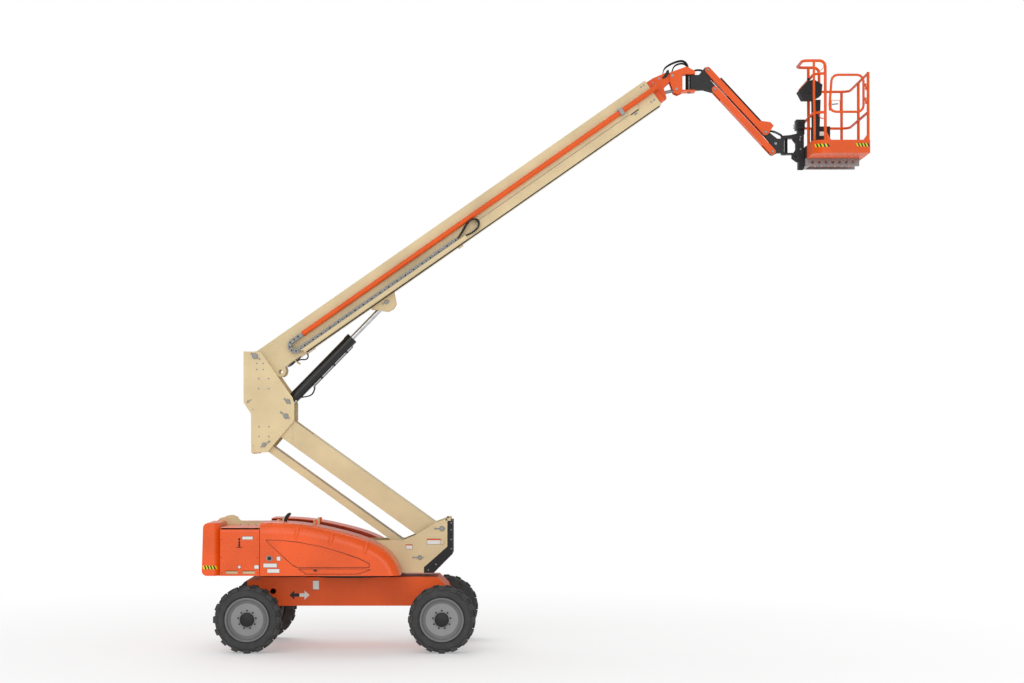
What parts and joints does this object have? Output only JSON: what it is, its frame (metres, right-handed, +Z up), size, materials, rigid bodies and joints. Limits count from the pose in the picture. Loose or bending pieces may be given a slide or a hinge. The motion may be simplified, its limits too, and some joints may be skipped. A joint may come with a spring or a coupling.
{
  "type": "articulating boom lift",
  "caption": "Self-propelled boom lift: four-wheel chassis, swinging turntable, parallelogram tower, telescopic main boom, swinging jib and guarded work platform.",
  "frame": {"origin": "on the ground under the turntable's swing axis, midway between the axles", "axes": "+X towards the drive axle and the platform, +Y to the far side, +Z up"},
  "size_m": [9.4688, 2.44, 8.4461],
  "materials": {
    "lift_orange": "gloss paint",
    "sand_paint": "satin paint",
    "black_paint": "satin paint",
    "bare_steel": "plain steel",
    "chrome_rod": "ground chrome",
    "wheel_grey": "satin paint",
    "tyre_rubber": "moulded rubber",
    "cast_weight": "painted iron casting",
    "chain_grey": "moulded plastic",
    "pad_plastic": "slide pads",
    "cover_orange": "gloss moulded cover",
    "box_black": "moulded plastic",
    "engine_grey": "cast and painted"
  },
  "bodies": {
    "chassis": {"chassis_frame": "lift_orange", "swing_bearing": "bare_steel", "steer_axle": "black_paint", "drive_axle": "black_paint"},
    "knuckle_near": {"knuckle_near": "black_paint"},
    "knuckle_far": {"knuckle_far": "black_paint"},
    "tie_rod": {"tie_rod": "bare_steel"},
    "wheel_steer_near": {"tyre_steer_near": "tyre_rubber", "rim_steer_near": "wheel_grey"},
    "wheel_steer_far": {"tyre_steer_far": "tyre_rubber", "rim_steer_far": "wheel_grey"},
    "wheel_drive_near": {"tyre_drive_near": "tyre_rubber", "rim_drive_near": "wheel_grey"},
    "wheel_drive_far": {"tyre_drive_far": "tyre_rubber", "rim_drive_far": "wheel_grey"},
    "turntable": {"swing_ring": "black_paint", "turntable_frame": "sand_paint", "turntable_pins": "bare_steel", "edge_guard": "box_black", "counterweight": "cast_weight", "side_cover_near": "cover_orange", "side_cover_far": "cover_orange", "engine_block": "engine_grey", "hydraulic_tank": "box_black"},
    "hood_near": {"hood_near": "cover_orange"},
    "hood_far": {"hood_far": "cover_orange"},
    "tower_arm": {"tower_arm": "sand_paint"},
    "tower_link": {"tower_link": "sand_paint"},
    "tower_barrel": {"tower_cylinder_barrel": "black_paint"},
    "tower_rod": {"tower_cylinder_rod": "chrome_rod"},
    "upright": {"upright": "sand_paint", "upright_pins": "bare_steel"},
    "boom": {"boom_base": "sand_paint", "boom_pads": "pad_plastic", "hose_tray": "sand_paint", "cable_chain": "chain_grey", "guide_clamps": "bare_steel"},
    "lift_rod": {"lift_cylinder_rod": "chrome_rod"},
    "lift_barrel": {"lift_cylinder_barrel": "black_paint"},
    "fly": {"boom_fly": "lift_orange", "fly_pads": "pad_plastic", "fly_nose": "lift_orange", "push_tube": "lift_orange"},
    "level_rod": {"level_rod": "bare_steel"},
    "level_bracket": {"level_bracket": "lift_orange", "bracket_pins": "bare_steel"},
    "jib_base": {"jib_base": "black_paint"},
    "jib_upper": {"jib_upper_arm": "lift_orange"},
    "jib_lower": {"jib_lower_arm": "lift_orange"},
    "jib_end": {"jib_end": "black_paint"},
    "platform": {"platform_support": "black_paint", "rotator_pin": "bare_steel", "support_beams": "bare_steel", "platform_floor": "lift_orange", "kick_plate": "lift_orange", "platform_rails": "lift_orange", "console": "box_black"},
    "gate": {"platform_gate": "lift_orange"}
  },
  "joints": [
    {"name": "steer_near", "type": "hinge", "parent": "chassis", "child": "knuckle_near", "pos_m": [-1.37, -0.8275, 0.475], "axis": [0, 0, 1], "range_deg": [-38, 38]},
    {"name": "steer_far", "type": "hinge", "parent": "chassis", "child": "knuckle_far", "pos_m": [-1.37, 0.8275, 0.475], "axis": [0, 0, 1], "range_deg": [-39, 39]},
    {"name": "tie_rod_slide", "type": "slide", "parent": "chassis", "child": "tie_rod", "axis": [0, 1, 0], "range_m": [-0.1296, 0.1296]},
    {"name": "roll_steer_near", "type": "hinge", "parent": "knuckle_near", "child": "wheel_steer_near", "pos_m": [-1.37, -1.0425, 0.475], "axis": [0, 1, 0], "continuous": true},
    {"name": "roll_steer_far", "type": "hinge", "parent": "knuckle_far", "child": "wheel_steer_far", "pos_m": [-1.37, 1.0425, 0.475], "axis": [0, 1, 0], "continuous": true},
    {"name": "roll_drive_near", "type": "hinge", "parent": "chassis", "child": "wheel_drive_near", "pos_m": [1.37, -1.0425, 0.475], "axis": [0, 1, 0], "continuous": true},
    {"name": "roll_drive_far", "type": "hinge", "parent": "chassis", "child": "wheel_drive_far", "pos_m": [1.37, 1.0425, 0.475], "axis": [0, 1, 0], "continuous": true},
    {"name": "swing", "type": "hinge", "parent": "chassis", "child": "turntable", "pos_m": [0, 0, 1.05], "axis": [0, 0, 1], "range_deg": [-200, 200]},
    {"name": "hood_near_hinge", "type": "hinge", "parent": "turntable", "child": "hood_near", "pos_m": [0, -0.369, 1.838], "axis": [-1, 0, 0], "range_deg": [0, 60]},
    {"name": "hood_far_hinge", "type": "hinge", "parent": "turntable", "child": "hood_far", "pos_m": [0, 0.369, 1.838], "axis": [1, 0, 0], "range_deg": [0, 60]},
    {"name": "tower_lift", "type": "hinge", "parent": "turntable", "child": "tower_arm", "pos_m": [1.347, 0, 1.716], "axis": [0, 1, 0], "range_deg": [-35.7, 30]},
    {"name": "tower_link_hinge", "type": "hinge", "parent": "turntable", "child": "tower_link", "pos_m": [1.028, 0, 1.301], "axis": [0, 1, 0], "range_deg": [-36.7, 31]},
    {"name": "upright_level", "type": "hinge", "parent": "tower_arm", "child": "upright", "pos_m": [-0.91303, 0, 3.34], "axis": [0, 1, 0], "range_deg": [-31, 36.7]},
    {"name": "tower_barrel_hinge", "type": "hinge", "parent": "turntable", "child": "tower_barrel", "pos_m": [1.355, 0, 1.52], "axis": [0, 1, 0], "range_deg": [-33.83, 28.43]},
    {"name": "tower_rod_slide", "type": "slide", "parent": "tower_barrel", "child": "tower_rod", "axis": [-0.8102, 0, 0.5862], "range_m": [-0.1035, 0.0885]},
    {"name": "boom_lift", "type": "hinge", "parent": "upright", "child": "boom", "pos_m": [-1.36303, 0, 4.208], "axis": [0, -1, 0], "range_deg": [-35, 36]},
    {"name": "lift_rod_hinge", "type": "hinge", "parent": "boom", "child": "lift_rod", "pos_m": [0.53031, 0, 5.00421], "axis": [0, -1, 0], "range_deg": [-3.34, 3.27]},
    {"name": "lift_barrel_slide", "type": "slide", "parent": "lift_rod", "child": "lift_barrel", "axis": [-0.6987, 0, -0.7154], "range_m": [-0.4681, 0.4812]},
    {"name": "telescope", "type": "slide", "parent": "boom", "child": "fly", "axis": [0.8197, 0, 0.5729], "range_m": [0, 5]},
    {"name": "platform_level", "type": "hinge", "parent": "fly", "child": "level_bracket", "pos_m": [4.69788, 0, 8.31225], "axis": [0, -1, 0], "range_deg": [-37, 36]},
    {"name": "level_rod_slide", "type": "slide", "parent": "fly", "child": "level_rod", "axis": [0.9744, 0, 0.225], "range_m": [-0.1359, 0.1359]},
    {"name": "jib_swing", "type": "hinge", "parent": "level_bracket", "child": "jib_base", "pos_m": [4.94988, 0, 8.31225], "axis": [0, 0, 1], "range_deg": [-55, 70]},
    {"name": "jib_lift", "type": "hinge", "parent": "jib_base", "child": "jib_upper", "pos_m": [5.21988, 0, 8.40024], "axis": [0, -1, 0], "range_deg": [-4.5, 117]},
    {"name": "jib_lower_hinge", "type": "hinge", "parent": "jib_base", "child": "jib_lower", "pos_m": [5.32188, 0, 8.11524], "axis": [0, -1, 0], "range_deg": [-5.5, 118]},
    {"name": "jib_end_level", "type": "hinge", "parent": "jib_upper", "child": "jib_end", "pos_m": [6.06374, 0, 7.48895], "axis": [0, -1, 0], "range_deg": [-118, 5.5]},
    {"name": "platform_rotate", "type": "hinge", "parent": "jib_end", "child": "platform", "pos_m": [6.34274, 0, 7.28895], "axis": [0, 0, 1], "range_deg": [-90, 90]},
    {"name": "gate_hinge", "type": "hinge", "parent": "platform", "child": "gate", "pos_m": [7.39674, -0.8905, 7.88495], "axis": [0, 0, -1], "range_deg": [0, 78]}
  ],
  "couplings": [
    {"joint": "steer_far", "follows": "steer_near", "ratio": 1},
    {"joint": "tie_rod_slide", "follows": "steer_near", "m_per_rad": 0.18},
    {"joint": "tower_link_hinge", "follows": "tower_lift", "ratio": 1},
    {"joint": "upright_level", "follows": "tower_lift", "ratio": -1},
    {"joint": "tower_barrel_hinge", "follows": "tower_lift", "ratio": 0.92},
    {"joint": "tower_rod_slide", "follows": "tower_lift", "m_per_rad": 0.15},
    {"joint": "lift_rod_hinge", "follows": "boom_lift", "ratio": -0.065},
    {"joint": "lift_barrel_slide", "follows": "boom_lift", "m_per_rad": 0.75},
    {"joint": "platform_level", "follows": "boom_lift", "ratio": -1},
    {"joint": "level_rod_slide", "follows": "boom_lift", "m_per_rad": -0.1956},
    {"joint": "jib_lower_hinge", "follows": "jib_lift", "ratio": 1},
    {"joint": "jib_end_level", "follows": "jib_lift", "ratio": -1}
  ]
}
